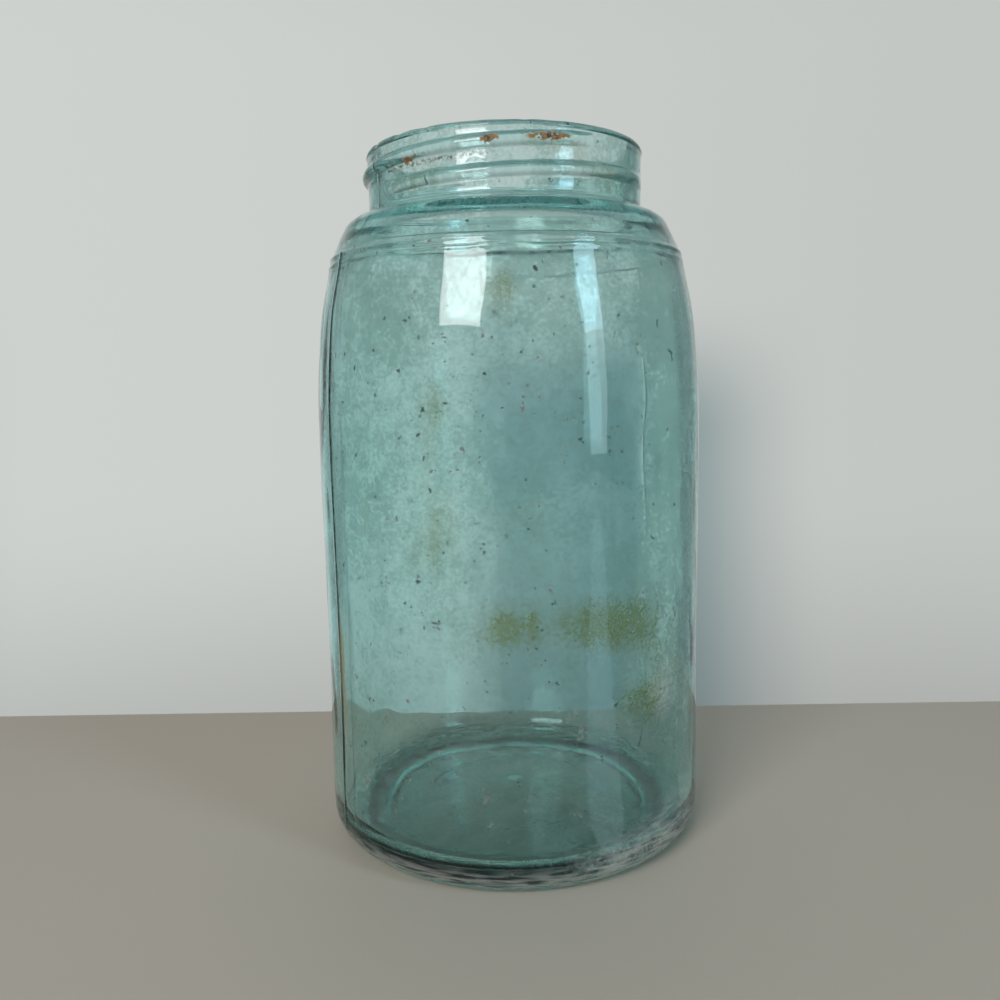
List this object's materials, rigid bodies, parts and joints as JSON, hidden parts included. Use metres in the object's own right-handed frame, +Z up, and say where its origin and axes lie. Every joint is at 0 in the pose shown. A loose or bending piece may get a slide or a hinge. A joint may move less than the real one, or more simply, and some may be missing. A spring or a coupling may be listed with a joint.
{
  "type": "canning jar",
  "caption": "Empty pressed-glass canning jar with rounded shoulders, a ringed neck step and an open threaded mouth; holds preserved or dry food.",
  "frame": {"origin": "centre of the bearing ring under the jar, on the surface it stands on", "axes": "+Z up along the jar's axis to the mouth; -Y is the front, towards the viewer; +X is the viewer's right"},
  "size_m": [0.0996, 0.0996, 0.176],
  "materials": {
    "aqua_glass": "old pressed glass, clear blue-green, gloss, lightly hazed"
  },
  "bodies": {
    "root": {"glass_jar": "aqua_glass"}
  },
  "joints": []
}
